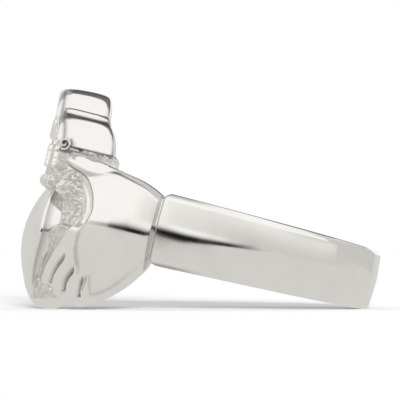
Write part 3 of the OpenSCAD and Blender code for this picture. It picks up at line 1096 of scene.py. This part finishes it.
@dataclass
class Heart:
    """The swelled heart, whose tip rounds down to the finger.

    Args:
        bore: The finger's hole.
        finishes: The ring's finishes.
    """

    bore: Bore
    finishes: Finishes
    width: float = 9.8
    height: float = 9.35
    low: float = 7.38
    points: int = 160
    arc_r: float = 13.95
    lobe = ((0, 0.875), (0.13, 1.06), (0.94, 1.05), (1, 0.58))
    flank = ((1, 0.58), (1.02, 0.37), (0.38, 0.02), (0, 0))
    spine = ((-7.5, 1.9), (-7.3, 2.4), (-6.9, 2.85), (-6.2, 3.28), (-5.3, 3.65), (-4.3, 3.9),
             (-3.2, 4.02), (-2.2, 4.02), (-1.2, 3.92), (-0.4, 3.74), (0.3, 3.5), (1.0, 3.2),
             (1.6, 2.95), (2.4, 2.8))
    border = ((-7.5, 1.7), (-7.2, 2.0), (-6.6, 2.45), (-5.8, 2.9), (-4.8, 3.25), (-3.6, 3.5),
              (-2.2, 3.6), (-0.8, 3.55), (0.3, 3.35), (1.2, 3.0), (2.4, 2.6))
    middle_z: float = -2.0
    edge_r: float = 0.22
    flare: float = 0.08
    nose: float = 0.3
    swell: float = 2.2

    def _outline(self) -> np.ndarray:
        """Draws the heart from the front, evenly spaced.

        Returns:
            Its points as y and z, once round from the notch.
        """
        t = np.linspace(0, 1, 60)[:, None]
        halves = []
        for curve in (self.lobe, self.flank):
            a, b, c, d = np.array(curve, float)
            halves.append((1 - t)**3 * a + 3 * (1 - t)**2 * t * b
                          + 3 * (1 - t) * t**2 * c + t**3 * d)
        half = np.vstack([halves[0][:-1], halves[1]])
        whole = np.vstack([half, half[-2::-1] * (-1, 1)])
        step = np.hypot(*np.diff(whole, axis=0).T)
        run = np.concatenate([[0], np.cumsum(step)])
        even = np.linspace(0, run[-1], self.points, endpoint=False)
        line = np.stack([np.interp(even, run, whole[:, i]) for i in (0, 1)], axis=1)
        return line * (self.width / 2, self.height) - (0, self.low)

    def build(self) -> None:
        """Builds the heart from its foot up to its swelled face."""
        outline = self._outline()
        spine, border = smooth_line(list(self.spine)), smooth_line(list(self.border))
        middle = np.array([0, self.middle_z])
        turn = np.arctan2(*(outline - middle).T)
        plain = middle + np.stack([3.9 * np.sin(turn), 3.9 * np.cos(turn)], axis=1)
        rings = [(size, 0.05, 0) for size in (0.02, 0.2, 0.4, 0.6, 0.75)]
        rings += [(0.9, 0.02, 0), (0.95, 0.35, 0), (0.99, 0.8, 0), (1.0, 1.3, 0)]
        rings += [(1.0, 1.3, share) for share in (0.25, 0.5, 0.75, 1.0)]
        rings += [(1 - 0.05 * (1 - math.cos(a)), 1.3, 1 + math.sin(a))
                  for a in np.radians([20, 40, 60, 80])]
        rings += [(share, 1.3, 2) for share in np.linspace(0.945, 0.02, 36)]
        outlines = []
        for size, foot, part in rings:
            melt = float(fade(1 - size, 0.1, 0.75))
            flare = (0.02 + self.flare * fade(outline[:, 1], -4.2, -2.2)) * max(0.0, 1 - part)
            at = middle + (outline * (1 - melt) + plain * melt - middle) * (size + flare)[:, None]
            top = np.interp(at[:, 1], border[:, 0], border[:, 1])
            top = top + self.nose * fade(-at[:, 1], 5.0, 7.0) * (1 - fade(np.abs(at[:, 0]), 0.0, 2.0))
            crown = np.interp(at[:, 1], spine[:, 0], spine[:, 1])
            wall = foot + (top - self.edge_r - foot) * min(part, 1)
            height = wall + self.edge_r * max(part - 1, 0)
            if part == 2:
                height = height + (crown - top) * (1 - (size / 0.945)**self.swell)
            angle = np.arcsin(np.clip(at[:, 0] / self.arc_r, -1, 1))
            outlines.append(self.bore.bend(angle, height, at[:, 1]))
        bm = turned(np.array(outlines))
        co = coordinates(bm)
        step = (np.hypot(co[:, 0], co[:, 1]) - self.bore.radius
                - np.interp(co[:, 2], border[:, 0], border[:, 1]))
        # Painted shade: a dark line along the step at the face's edge, fading out near the tip.
        grime = 0.45 * bell(step, -self.edge_r, 0.06) * (1 - fade(-co[:, 2], 5.6, 6.4))
        finish_piece(bm, "ring_heart", self.bore, [self.finishes.polished], 50, grime)


# --------------------------------------------------------------- the crown

@dataclass
class Crown:
    """The crown: three lobes on a ribbed band, with a beaded rim below.

    Args:
        bore: The finger's hole.
        finishes: The ring's finishes.
    """

    bore: Bore
    finishes: Finishes
    depth: float = 3.8
    top: float = 8.45
    lobe_r: float = 2.55
    lobe_side: float = 2.35
    lobe_drop: float = 1.8
    lobe_wall: float = 0.62
    width: float = 10.9
    rim: float = 0.5
    field: float = 0.45
    rim_low: float = 1.05
    rim_h: float = 0.95
    rim_half: float = 4.6
    rib_w: float = 0.34
    rib_h: float = 0.2
    bead_w: float = 0.98
    ribs: tuple[float, ...] = (0.0, 2.0, 4.1, 5.05)
    wall_half: float = 5.2
    saddle_r: float = 0.95
    pearl_r: float = 0.42
    pearl_rise: float = 1.07
    side_pearl: tuple[float, float] = (3.05, 1.0)
    wall_columns: int = 330
    wall_rows: int = 90
    curl_r: float = 0.44
    curl_wire: float = 0.15
    curl_at: tuple[float, float, float] = (-12.42, 4.95, 4.34)
    curl_start: float = -110.0
    curl_turn: float = 480.0
    curl_steps: int = 64
    arc_points: int = 90
    foot_points: int = 40
    side_view = ((0.0, 0.42), (0.02, 0.28), (0.06, 0.14), (0.12, 0.06), (0.22, 0.01), (0.36, 0.0),
                 (0.5, 0.02), (0.62, 0.05), (0.74, 0.1), (0.84, 0.17), (0.91, 0.25), (0.955, 0.34),
                 (0.985, 0.44), (1.0, 0.54))
    front_view = ((0.08, 0.02), (0.17, 0.01), (0.24, -0.05), (0.28, -0.16), (0.3, -0.36),
                  (0.33, -0.45))

    @property
    def top_z(self) -> float:
        """The height of the middle lobe's centre."""
        return self.top - self.lobe_r

    @property
    def side_z(self) -> float:
        """The height of the side lobes' centres."""
        return self.top_z - self.lobe_drop

    def _wrapped(self, places: np.ndarray) -> np.ndarray:
        """Fits a block between the finger and the crown's front.

        Args:
            places: Points as y, z and depth, from 0 at the finger to the
                crown's depth at its front.

        Returns:
            The ring's coordinates, with sides that run straight back.
        """
        y, z, d = places[..., 0], places[..., 1], places[..., 2]
        back, front = self.bore.ahead(0.02, y), self.bore.ahead(self.depth, y)
        return np.stack([-(back + (front - back) * d / self.depth), y, z], axis=-1)

    def _lobe_ring(self, y: float, z: float, size: float, inset: float, depth: float) -> np.ndarray:
        """Draws a lobe's outline, a round with a straight foot.

        Args:
            y: The lobe's middle across the ring.
            z: The lobe's middle along the finger.
            size: The lobe's radius.
            inset: How far inside the lobe's outline it runs.
            depth: Its depth.

        Returns:
            Its points as y, z and depth.
        """
        r = size - inset
        foot = max(self.side_z, z - 0.7 * size) + inset
        start = math.asin(max(-1.0, min((foot - z) / r, 1)))
        turn = np.linspace(start, math.pi - start, self.arc_points)
        across = np.linspace(-1, 1, self.foot_points + 2)[1:-1] * r * math.cos(start)
        round_part = np.stack([y + r * np.cos(turn), z + r * np.sin(turn)], axis=1)
        straight = np.stack([y + across, np.full(len(across), foot)], axis=1)
        ring = np.vstack([round_part, straight])
        return np.column_stack([ring, np.full(len(ring), depth)])

    def _lobe(self, bm: bmesh.types.BMesh, y: float, z: float, size: float) -> None:
        """Adds one lobe with its sunk field.

        Args:
            bm: The mesh to add to.
            y: The lobe's middle across the ring.
            z: The lobe's middle along the finger.
            size: The lobe's radius.
        """
        steps = [(cut, 0.03) for cut in np.linspace(size / 2 - 0.02, self.side_view[0][1] + 0.1, 5)]
        steps += [(cut, share * self.depth) for share, cut in smooth_line(list(self.side_view), 2)]
        steps += [(self.side_view[-1][1] + cut, self.depth + rise) for cut, rise in self.front_view]
        last = steps[-1][0]
        steps += [(cut, self.depth - self.field)
                  for cut in np.linspace(last + 0.05, size / 2 - 0.02, 6)]
        rings = np.array([self._lobe_ring(y, z, size, cut, depth) for cut, depth in steps])
        self._join(bm, turned(self._wrapped(rings)))

    def _saddle(self, bm: bmesh.types.BMesh, side: int) -> None:
        """Fills the corner between the middle lobe and a side lobe.

        Args:
            bm: The mesh to add to.
            side: 1 towards y, -1 away from it.
        """
        turn = np.linspace(0, 2 * math.pi, 90, endpoint=False)
        rings = []
        for share, cut in ((0.05, 0.3), (0.07, 0.12), (0.12, 0.03), (0.3, 0), (0.7, 0), (0.84, 0.05),
                           (0.9, 0.14), (0.92, 0.3)):
            r = self.saddle_r - cut
            rings.append(np.column_stack([side * (self.lobe_side + 0.15 + r * np.cos(turn)),
                                          self.top_z + 1.08 - self.saddle_r + r * np.sin(turn),
                                          np.full(len(turn), share * self.depth)]))
        self._join(bm, turned(self._wrapped(np.array(rings))))

    def _join(self, bm: bmesh.types.BMesh, part: bmesh.types.BMesh) -> None:
        """Adds a part to the crown's mesh.

        Args:
            bm: The mesh to add to.
            part: The part. It is freed.
        """
        mesh = to_mesh(part, "part")
        bm.from_mesh(mesh)
        bpy.data.meshes.remove(mesh)

    def _ball(self, bm: bmesh.types.BMesh, centre: tuple[float, float, float],
              radii: tuple[float, float, float]) -> None:
        """Adds a rounded bead.

        Args:
            bm: The mesh to add to.
            centre: Its centre in the ring's coordinates.
            radii: Its radii along the ring's x, y and z.
        """
        part = bmesh.new()
        bmesh.ops.create_uvsphere(part, u_segments=28, v_segments=16, radius=1)
        bmesh.ops.scale(part, vec=radii, verts=part.verts[:])
        bmesh.ops.rotate(part, verts=part.verts[:],
                         matrix=Matrix.Rotation(math.atan2(-centre[1], -centre[0]), 3, "Z"))
        bmesh.ops.translate(part, verts=part.verts[:], vec=centre)
        self._join(bm, part)

    def _on_front(self, y: float, z: float, sink: float) -> tuple[float, float, float]:
        """Gives the place on the crown's front at y and z, sunk by that much."""
        return (-math.sqrt((self.bore.radius + self.depth - sink)**2 - y * y), y, z)

    def _curl(self, bm: bmesh.types.BMesh, side: int) -> None:
        """Adds the curl beside the ribbed band.

        Args:
            bm: The mesh to add to.
            side: 1 towards y, -1 away from it.
        """
        part = bmesh.new()
        bmesh.ops.create_circle(part, segments=14, radius=self.curl_wire)
        bmesh.ops.translate(part, verts=part.verts[:], vec=(self.curl_r, 0, 0))
        bmesh.ops.spin(part, geom=part.verts[:] + part.edges[:], cent=(0, 0, 0), axis=(0, -1, 0),
                       dvec=(0, 1, 0), angle=math.radians(self.curl_turn), steps=self.curl_steps)
        co = coordinates(part)
        step = np.rint(co[:, 1])
        share = step / self.curl_steps
        turn = np.arctan2(co[:, 2], co[:, 0]) + math.radians(self.curl_start)
        wire = np.hypot(co[:, 0], co[:, 2]) - self.curl_r
        r = self.curl_r * (1 - 0.8 * share) + wire * (1 - 0.3 * share)
        x, y, z = self.curl_at
        y = y + 2.2 * (co[:, 1] - step) + 0.1 * share
        move_to(part, np.stack([x + r * np.cos(turn), side * y, z + r * np.sin(turn)], axis=1))
        close_holes(part)
        bmesh.ops.recalc_face_normals(part, faces=part.faces[:])
        self._join(bm, part)

    def _painted_shade(self, co: np.ndarray) -> np.ndarray:
        """Works out the painted shade lines round the lobes, between the beads and under the curls.

        Args:
            co: The crown's points, in the ring's coordinates.

        Returns:
            How dark each point is, from 0 to 1.
        """
        y, z = np.abs(co[:, 1]), co[:, 2]
        back, front = self.bore.ahead(0, y), self.bore.ahead(self.depth, y)
        share = (-co[:, 0] - back) / (front - back)
        # Painted shade: dark outlines round the lobes, seams below them, a fold line, dark gaps between
        # the beads and shade under the curls.
        dark = np.zeros(len(co))
        for middle, height, strength, start in ((self.lobe_side, self.side_z, 0.95, 0.82),
                                                (0.0, self.top_z, 0.6, 0.88)):
            reach = np.hypot(y - middle, z - height)
            rim = ((reach > self.lobe_r - self.lobe_wall) & (reach < self.lobe_r + 0.05)
                   & (z > height - 0.1))
            rise = (z - height) / np.maximum(reach, 0.1)
            line = (strength * fade(rise, start, start + 0.095) * fade(share, 0.0, 0.1)
                    * (1 - fade(share, 0.88, 0.96)))
            edge = 0.6 * bell(share, 0.91, 0.03) + 0.45 * bell(share, 0.06, 0.03)
            dark = np.maximum(dark, np.where(rim, np.maximum(line, edge), 0))
            seam = (1 - fade(z, self.side_z + 0.12, self.side_z + 0.24)) * (y > 4.2) * (share < 0.86)
            dark = np.maximum(dark, np.where(z > self.side_z - 0.05, seam, 0))
        fold = np.where((y > 2.85) & (y < 3.7), bell(z, self.side_z + 2.33, 0.12), 0)
        dark = np.maximum(dark, 0.95 * fold * fade(share, 0.02, 0.1) * (1 - fade(share, 0.8, 0.92)))
        beads = (z < self.rim_low + self.rim_h) & (y < self.rim_half)
        dark = np.where(beads, 0.5 * bell(np.cos(math.pi * y / self.bead_w), 0, 0.3), dark)
        off = np.hypot(co[:, 0] - self.curl_at[0], z - self.curl_at[2]) - self.curl_r - self.curl_wire
        under = 1 - fade((z - self.curl_at[2]) - (co[:, 0] - self.curl_at[0]), -0.3, 0.3)
        return np.maximum(dark, np.where(y > 4.3, under * (1 - fade(off, -0.05, 0.15)), 0))

    def _wall_depth(self, across: np.ndarray, z: np.ndarray) -> np.ndarray:
        """Works out the relief of the ribbed band and the beaded rim.

        Args:
            across: The places' distances from the crown's middle line.
            z: Their heights along the finger.

        Returns:
            The depth at each place, up to the crown's own at the front.
        """
        half = self.width / 2
        fall = 0.5 * fade(across, half - 0.35, half) + 1.1 * fade(across, half - 0.1, half + 0.8)
        depth = self.depth - 0.26 - fall - 0.3 * bell(z, 2.2, 0.2)
        for place in self.ribs:
            off = np.abs(across - place) / self.rib_w
            depth = depth + self.rib_h * (1 - fade(off, 0.2, 1)) * fade(z, 2.35, 2.6)
        depth = depth - 0.2 * fade(z, self.side_z - 0.15, self.side_z + 0.15)
        bead = (self.rim_low + self.rim_h / 2 - z) / (self.rim_h / 2)
        turn = np.cos(math.pi * across / self.bead_w)
        roll = np.sqrt(np.clip(1 - bead**2, 0, 1)) * (0.78 + 0.22 * np.abs(turn)**0.5)
        rim = self.depth - 0.5 + 0.47 * roll - 2.6 * np.clip(across - self.rim_half, 0, None)
        depth = np.maximum(depth, np.where(np.abs(bead) < 1, rim, 0))
        return depth - rounded(z - self.rim_low, 0.1)

    def _wall(self, bm: bmesh.types.BMesh) -> None:
        """Adds the ribbed band and the beaded rim.

        Args:
            bm: The mesh to add to.
        """
        part = thick_sheet(self.wall_columns, self.wall_rows)
        co = coordinates(part)
        upper = fade(co[:, 1], 0.22, 0.26)
        half = self.wall_half + (self.lobe_side + self.lobe_r - self.lobe_wall - self.wall_half) * upper
        y = 2 * half * co[:, 0]
        low = self.rim_low + 1.4 * fade(np.abs(y), self.rim_half + 0.1, self.rim_half + 0.5)
        z = low + (self.side_z + 0.5 - low) * (co[:, 1] + 0.5)
        depth = np.where(co[:, 2] > 0.5, self._wall_depth(np.abs(y), z), 0.0)
        rough = 0.02 * grit(np.stack([z, y, z], axis=1), 0.3, 5.0) * (co[:, 2] > 0.5)
        move_to(part, self._wrapped(np.stack([y, z, depth + rough], axis=1)))
        for face in part.faces:
            centre = face.calc_center_median()
            across = abs(centre.y)
            if centre.z < self.rim_low + self.rim_h:
                face.material_index = int(across > self.rim_half)
            else:
                on_rib = min(abs(across - place) for place in self.ribs) < 0.8 * self.rib_w
                outside = centre.x**2 + centre.y**2 > (self.bore.radius + 0.3)**2
                face.material_index = int(outside and (not on_rib or across > 4.5))
        self._join(bm, part)

    def build(self) -> None:
        """Builds the crown."""
        bm = bmesh.new()
        self._lobe(bm, 0, self.top_z, self.lobe_r)
        for side in (-1, 1):
            self._lobe(bm, side * self.lobe_side, self.side_z, self.lobe_r)
            self._saddle(bm, side)
        self._wall(bm)
        side_y, side_rise = self.side_pearl
        for y, z in ((0, self.pearl_rise + self.top_z), (side_y, self.side_z + side_rise),
                     (-side_y, self.side_z + side_rise)):
            self._ball(bm, self._on_front(y, z, self.pearl_r + 0.02), (self.pearl_r,) * 3)
        rest = len(bm.verts)
        for side in (-1, 1):
            self._curl(bm, side)
        grime = self._painted_shade(coordinates(bm))
        # The curls get an even light painted shade.
        grime[rest:] = 0.12
        finish_piece(bm, "ring_crown", self.bore,
                     [self.finishes.polished, self.finishes.cast], grime=grime)


@dataclass
class CrownFoot:
    """The rough metal under the crown, between it and the thumbs.

    Args:
        bore: The finger's hole.
        finishes: The ring's finishes.
    """

    bore: Bore
    finishes: Finishes
    half_width: float = 5.15
    height: float = 2.2
    low: float = 2.6
    top: float = 4.66
    shoulder: float = 4.18
    edge_r: float = 0.12

    def build(self) -> None:
        """Builds the foot with straight sides, and roughens it."""
        part = bmesh.new()
        bmesh.ops.create_cube(part, size=1)
        size = Vector((2 * self.half_width, self.top - self.low, self.height))
        bmesh.ops.scale(part, vec=size, verts=part.verts[:])
        bmesh.ops.bevel(part, geom=part.edges[:], offset=self.edge_r, segments=2, profile=0.5,
                        affect="EDGES", material=-1)
        for axis, step in ((0, 0.16), (1, 0.12), (2, 0.12)):
            places = np.arange(step - size[axis] / 2 + self.edge_r, size[axis] / 2 - self.edge_r, step)
            for place in places:
                normal = Vector([float(i == axis) for i in range(3)])
                bmesh.ops.bisect_plane(part, geom=part.verts[:] + part.edges[:] + part.faces[:],
                                       plane_co=normal * place, plane_no=normal)
        y, z, d = (coordinates(part) + (0, (self.low + self.top) / 2, self.height / 2)).T
        y = y * (1 - 0.2 * fade(z, self.shoulder, self.shoulder + 0.12))
        back, front = self.bore.ahead(0.025, y), self.bore.ahead(self.height, y)
        x = -(back + (front - back) * d / self.height)
        places = np.stack([x, y, z], axis=1)
        grain = grit(places, 0.28, 8.1)
        rough = 0.06 * grain
        out = np.sign(y) * fade(np.abs(y), self.half_width - 0.2, self.half_width)
        forward = -rough * fade(d, 0.9, 1.0) * (1 - np.abs(out))
        move_to(part, places + np.stack([forward, rough * out, 0 * rough], axis=1))
        # Painted shade: the foot is darkened where the grain is low.
        finish_piece(part, "ring_crown_foot", self.bore, [self.finishes.cast], 60,
                     fade(-grain, -0.2, 0.4) * 0.9)


# ------------------------------------------------------------- the studio

@dataclass(frozen=True)
class Screen:
    """A curved screen that the silver reflects and the camera doesn't see.

    Args:
        name: Its name.
        radius: How far it stands from the ring, in metres.
        stations: Its angle in degrees from -x towards the camera, its
            bottom and its top in metres, and its brightness below and at
            its top, at places along it.
    """

    name: str
    radius: float
    stations: tuple[tuple[float, float, float, float, float], ...]

    def build(self) -> None:
        """Builds the screen from a strip that is bent and trimmed."""
        table = np.array(self.stations)
        bm = bmesh.new()
        bmesh.ops.create_grid(bm, x_segments=60, y_segments=12, size=0.5)
        layer = bm.verts.layers.float_color.new("glow")
        for v in bm.verts:
            turn = table[0, 0] + (table[-1, 0] - table[0, 0]) * (v.co.x + 0.5)
            low, high, dark, light = (float(np.interp(turn, table[:, 0], table[:, i]))
                                      for i in (1, 2, 3, 4))
            rise = v.co.y + 0.5
            v[layer] = warm(dark + (light - dark) * float(fade(rise, 0.35, 1.0)))
            a = math.radians(turn)
            v.co = (-self.radius * math.cos(a), -self.radius * math.sin(a), low + (high - low) * rise)
        mesh = to_mesh(bm, self.name)
        s = Shader(self.name)
        glow = s.node("ShaderNodeAttribute", {"attribute_name": "glow"}, {}, "Color")
        mesh.materials.append(s.surface(s.node("ShaderNodeEmission", {}, {"Color": glow})))
        screen = put(self.name, mesh)
        screen.visible_camera = False
        screen.visible_diffuse = False
        screen.visible_shadow = False


@dataclass
class Studio:
    """The white table, the light tent, the cards and the camera."""

    table_size: float = 6.0
    table_glow: float = 0.69
    paper: float = 0.6
    light_rise: float = 8.0
    light_side: float = -0.04
    light_size: float = 9.0
    distance: float = 0.4
    eye: float = 0.0045
    aim: tuple[float, float, float] = (-0.00005, 0.0, 0.0078)
    view: float = 0.02876
    screens: tuple[Screen, ...] = (
        Screen("screen_black", 0.080, (
            (4, 0.014, 0.021, 0.68, 1), (16, 0.014, 0.023, 0.6, 1), (27, 0.013, 0.025, 0.38, 1),
            (34, 0.012, 0.027, 0.05, 1), (46, 0.009, 0.029, 0.0, 1), (60, 0.005, 0.024, 0.0, 1),
            (70, 0.002, 0.019, 0.0, 1), (82, 0, 0.015, 0.0, 1), (100, 0, 0.011, 0.02, 0.9),
            (112, 0, 0.009, 0.25, 0.85), (120, 0, 0.0072, 0.6, 0.85), (135, 0, 0.0044, 0.64, 0.85),
            (143, 0, 0.0036, 0.65, 0.85), (150, 0, 0.003, 0.65, 0.85), (160, 0, 0.0023, 0.65, 0.82))),
        Screen("screen_left", 0.083, (
            (-80, 0, 0.08, 0.68, 1), (-40, 0, 0.06, 0.7, 1), (0, 0, 0.030, 0.7, 1),
            (12, 0, 0.024, 0.7, 1), (36, 0, 0.014, 0.7, 0.7), (60, 0, 0.008, 0.7, 0.7),
            (76, 0, 0.002, 0.7, 0.7))),
        Screen("screen_sheen", 0.031, (
            (57, 0.0121, 0.0147, 1.0, 1.0), (64, 0.0114, 0.014, 0.88, 0.94),
            (70, 0.0106, 0.0133, 0.81, 0.89), (78, 0.0095, 0.0121, 0.79, 0.87),
            (87, 0.0083, 0.011, 0.76, 0.87), (95, 0.0072, 0.0098, 0.72, 0.87),
            (103, 0.006, 0.0086, 0.68, 0.87), (111, 0.0049, 0.0075, 0.65, 0.87),
            (118, 0.0038, 0.0065, 0.65, 0.87), (126, 0.0028, 0.0055, 0.65, 0.86),
            (134, 0.0019, 0.0045, 0.65, 0.86), (142, 0.001, 0.0037, 0.65, 0.86),
            (150, 0.0003, 0.003, 0.65, 0.85), (158, 0, 0.0024, 0.65, 0.84),
            (166, 0, 0.0019, 0.64, 0.82))),
        Screen("screen_right", 0.032, (
            (160, 0, 0.024, 0.68, 0.9), (168, 0, 0.024, 0.63, 0.76), (215, 0, 0.024, 0.6, 0.76))),
        Screen("screen_back", 0.45, (
            (195, 0.14, 0.7, 0.3, 0.3), (240, 0.14, 0.8, 0.2, 0.2), (270, 0.14, 0.8, 0.15, 0.15),
            (274, 0.2, 1.3, 0.45, 0.5), (345, 0.2, 1.3, 0.5, 0.5))),
    )

    def _table(self) -> None:
        """Lays the table, white to the camera and greyer in reflections."""
        bm = bmesh.new()
        bmesh.ops.create_grid(bm, x_segments=2, y_segments=2, size=self.table_size / 2)
        mesh = to_mesh(bm, "table")
        s = Shader("table_white")
        paper = s.node("ShaderNodeBsdfDiffuse", {}, {"Color": (*(self.paper,) * 3, 1)})
        grey = s.node("ShaderNodeEmission", {}, {"Color": warm(self.table_glow)})
        camera = s.node("ShaderNodeLightPath", {}, {}, "Is Camera Ray")
        mix = s.node("ShaderNodeMixShader", {}, {0: camera, 1: grey, 2: paper})
        mesh.materials.append(s.surface(mix))
        put("table", mesh)

    def _light(self) -> None:
        """Lights the tent and adds one soft light from the front."""
        world = bpy.data.worlds.new("tent")
        bpy.context.scene.world = world
        world.use_nodes = True
        tent = world.node_tree.nodes["Background"]
        tent.inputs["Color"].default_value = (1, 1, 1, 1)
        tent.inputs["Strength"].default_value = 1.0
        lamp = bpy.data.lights.new("soft_light", "SUN")
        rise = math.radians(self.light_rise)
        lamp.energy = (1 - self.paper) / self.paper * math.pi / math.sin(rise)
        lamp.angle = math.radians(self.light_size)
        light = put("soft_light", lamp)
        light.rotation_euler = aimed(Vector((self.light_side, math.cos(rise), -math.sin(rise))))
        light.visible_glossy = False

    def _camera(self) -> None:
        """Sets the camera low in front of the ring, as in the photograph."""
        lens = bpy.data.cameras.new("camera")
        lens.lens = lens.sensor_width * self.distance / self.view
        lens.clip_start, lens.clip_end = 0.01, 20.0
        camera = put("camera", lens)
        camera.location = (self.aim[0], -self.distance, self.eye)
        camera.rotation_euler = aimed(Vector(self.aim) - camera.location)
        bpy.context.scene.camera = camera

    def build(self) -> None:
        """Builds the studio."""
        self._table()
        self._light()
        self._camera()
        for screen in self.screens:
            screen.build()
        view = bpy.context.scene.view_settings
        view.view_transform = "Standard"
        view.look = "None"


def main() -> None:
    """Builds the ring and its studio."""
    bore = Bore.from_record(frame["record"])
    finishes = Finishes(PolishedSilver().make(), CastSilver().make())
    Studio().build()
    Band(bore, finishes).build()
    for side in Side:
        Hand(bore, finishes, side).build()
    Hollow(bore, finishes, Hand(bore, finishes, Side.NEAR)).build()
    Heart(bore, finishes).build()
    Crown(bore, finishes).build()
    CrownFoot(bore, finishes).build()


if __name__ == "__main__":
    main()
